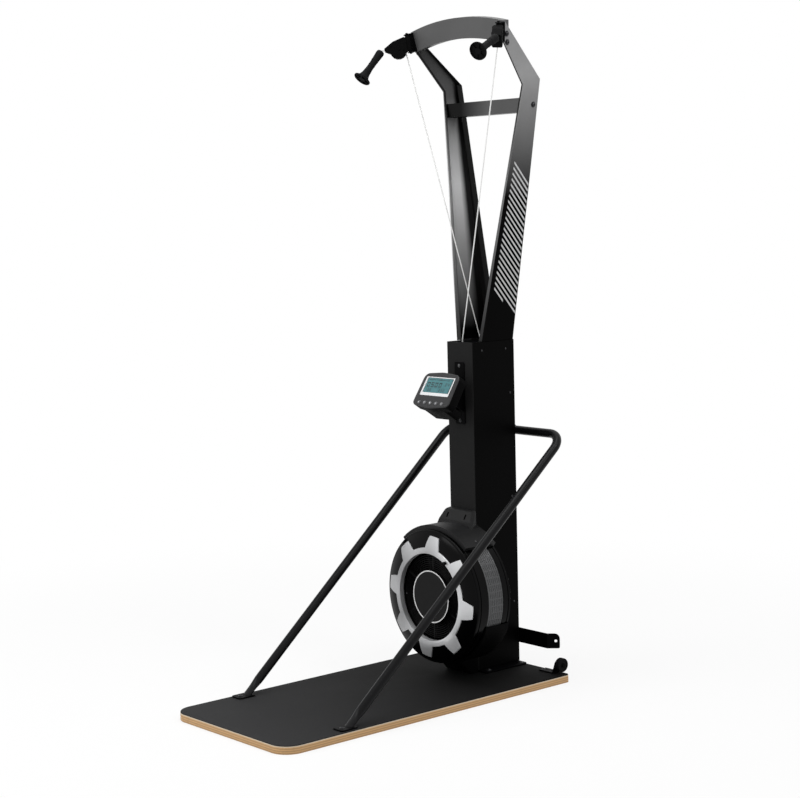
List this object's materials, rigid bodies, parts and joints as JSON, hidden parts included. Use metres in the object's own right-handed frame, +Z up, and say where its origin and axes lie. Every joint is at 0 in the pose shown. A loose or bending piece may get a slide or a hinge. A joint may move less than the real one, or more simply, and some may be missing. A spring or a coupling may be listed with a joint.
{
  "type": "ski ergometer",
  "caption": "Free-standing ski ergometer: platform, column, leaning uprights with pulleys and pole handles, fan flywheel in a round housing, console, rail and wheels.",
  "frame": {"origin": "centre of the platform's underside, on the floor", "axes": "+Z up, the user stands at -Y on the platform and faces the column along +Y, +X to the user's right"},
  "size_m": [0.675, 1.2449, 2.25],
  "materials": {
    "black_paint": "satin",
    "grey_paint": "satin",
    "black_plastic": "matte",
    "silver_plastic": "satin",
    "grille_grey": "satin",
    "steel": "brushed",
    "rubber": "matte",
    "plywood": "satin",
    "cord": "braided",
    "screen": "gloss",
    "button_grey": "matte"
  },
  "bodies": {
    "stand": {"column_shell": "black_paint", "column_rear_cover": "black_paint", "column_base_plate": "black_paint", "column_top_plate": "black_paint", "left_upright": "black_paint", "right_upright": "black_paint", "crossbar": "black_paint", "support_rail": "black_paint", "rail_clamp": "black_paint", "left_foot_plate": "black_paint", "right_foot_plate": "black_paint", "wall_bracket": "black_paint", "left_wheel_bracket": "black_paint", "right_wheel_bracket": "black_paint", "console_bracket": "black_paint", "left_pulley_bracket": "black_paint", "right_pulley_bracket": "black_paint", "arch": "grey_paint", "front_housing": "black_plastic", "rear_housing": "black_plastic", "inlet_grille": "black_plastic", "hub_cap": "black_plastic", "neck_shroud": "black_plastic", "housing_base": "black_plastic", "tilt_knob": "black_plastic", "outlet_band": "grille_grey", "front_bearing": "steel", "rear_bearing": "steel", "front_spring_can": "steel", "rear_spring_can": "steel", "platform_mat": "rubber", "drive_belt": "rubber", "platform_board": "plywood", "left_cord": "cord", "right_cord": "cord"},
    "flywheel": {"flywheel_fan": "steel", "flywheel_axle": "steel", "axle_sheave": "steel"},
    "shaft": {"drive_shaft": "steel", "shaft_sheave": "steel"},
    "front_drum": {"front_drum": "black_plastic"},
    "rear_drum": {"rear_drum": "black_plastic"},
    "left_swivel": {"left_pulley_case": "black_plastic", "left_cord_lead": "cord"},
    "right_swivel": {"right_pulley_case": "black_plastic", "right_cord_lead": "cord"},
    "left_pulley": {"left_pulley_wheel": "black_plastic"},
    "right_pulley": {"right_pulley_wheel": "black_plastic"},
    "left_grip": {"left_handle": "rubber"},
    "right_grip": {"right_handle": "rubber"},
    "damper": {"damper_ring": "silver_plastic"},
    "console": {"console_body": "black_plastic", "console_screen": "screen"},
    "button_1": {"console_button_1": "button_grey"},
    "button_2": {"console_button_2": "button_grey"},
    "button_3": {"console_button_3": "button_grey"},
    "button_4": {"console_button_4": "button_grey"},
    "button_5": {"console_button_5": "button_grey"},
    "left_roller": {"left_transport_wheel": "rubber"},
    "right_roller": {"right_transport_wheel": "rubber"}
  },
  "joints": [
    {"name": "flywheel_spin", "type": "hinge", "parent": "stand", "child": "flywheel", "pos_m": [0, 0.33, 0.308], "axis": [0, 1, 0], "continuous": true},
    {"name": "shaft_spin", "type": "hinge", "parent": "stand", "child": "shaft", "pos_m": [0, 0.49, 1.04], "axis": [0, 1, 0], "continuous": true},
    {"name": "left_swivel_turn", "type": "hinge", "parent": "stand", "child": "left_swivel", "pos_m": [-0.222, 0.40415, 2.18059], "axis": [-0.1805, -0.125, 0.9756], "range_deg": [-30, 50]},
    {"name": "left_handle_pull", "type": "slide", "parent": "left_swivel", "child": "left_grip", "axis": [-0.099, -0.6378, -0.7638], "range_m": [0, 1.5], "stiffness_N_per_m": 6, "springref_m": -2},
    {"name": "rear_drum_turn", "type": "hinge", "parent": "stand", "child": "rear_drum", "pos_m": [0, 0.533, 1.04], "axis": [0, 1, 0], "range_deg": [0, 2900]},
    {"name": "left_pulley_turn", "type": "hinge", "parent": "left_swivel", "child": "left_pulley", "pos_m": [-0.24562, 0.37716, 2.15738], "axis": [0.7309, -0.6807, 0.048], "range_deg": [0, 3700]},
    {"name": "right_swivel_turn", "type": "hinge", "parent": "stand", "child": "right_swivel", "pos_m": [0.222, 0.40415, 2.18059], "axis": [0.1805, -0.125, 0.9756], "range_deg": [-50, 30]},
    {"name": "right_handle_pull", "type": "slide", "parent": "right_swivel", "child": "right_grip", "axis": [0.249, -0.883, -0.398], "range_m": [0, 1.5], "stiffness_N_per_m": 6, "springref_m": -2},
    {"name": "front_drum_turn", "type": "hinge", "parent": "stand", "child": "front_drum", "pos_m": [0, 0.447, 1.04], "axis": [0, 1, 0], "range_deg": [0, 2900]},
    {"name": "right_pulley_turn", "type": "hinge", "parent": "right_swivel", "child": "right_pulley", "pos_m": [0.24562, 0.37716, 2.15738], "axis": [0.7309, 0.6807, -0.048], "range_deg": [0, 3700]},
    {"name": "damper_turn", "type": "hinge", "parent": "stand", "child": "damper", "pos_m": [0, 0.241, 0.308], "axis": [0, 1, 0], "range_deg": [0, 60]},
    {"name": "console_tilt", "type": "hinge", "parent": "stand", "child": "console", "pos_m": [0, 0.35412, 0.97393], "axis": [1, 0, 0], "range_deg": [-20, 20]},
    {"name": "button_1_press", "type": "slide", "parent": "console", "child": "button_1", "axis": [0, 0.8387, -0.5446], "range_m": [0, 0.0015], "stiffness_N_per_m": 300},
    {"name": "button_2_press", "type": "slide", "parent": "console", "child": "button_2", "axis": [0, 0.8387, -0.5446], "range_m": [0, 0.0015], "stiffness_N_per_m": 300},
    {"name": "button_3_press", "type": "slide", "parent": "console", "child": "button_3", "axis": [0, 0.8387, -0.5446], "range_m": [0, 0.0015], "stiffness_N_per_m": 300},
    {"name": "button_4_press", "type": "slide", "parent": "console", "child": "button_4", "axis": [0, 0.8387, -0.5446], "range_m": [0, 0.0015], "stiffness_N_per_m": 300},
    {"name": "button_5_press", "type": "slide", "parent": "console", "child": "button_5", "axis": [0, 0.8387, -0.5446], "range_m": [0, 0.0015], "stiffness_N_per_m": 300},
    {"name": "left_roller_spin", "type": "hinge", "parent": "stand", "child": "left_roller", "pos_m": [-0.268, 0.6, 0.055], "axis": [1, 0, 0], "continuous": true},
    {"name": "right_roller_spin", "type": "hinge", "parent": "stand", "child": "right_roller", "pos_m": [0.268, 0.6, 0.055], "axis": [1, 0, 0], "continuous": true}
  ],
  "couplings": [
    {"joint": "shaft_spin", "follows": "flywheel_spin", "ratio": 0.4012},
    {"joint": "rear_drum_turn", "follows": "left_handle_pull", "rad_per_m": 33.333},
    {"joint": "front_drum_turn", "follows": "right_handle_pull", "rad_per_m": 33.333},
    {"joint": "left_pulley_turn", "follows": "left_handle_pull", "rad_per_m": 42.553},
    {"joint": "right_pulley_turn", "follows": "right_handle_pull", "rad_per_m": 42.553}
  ]
}
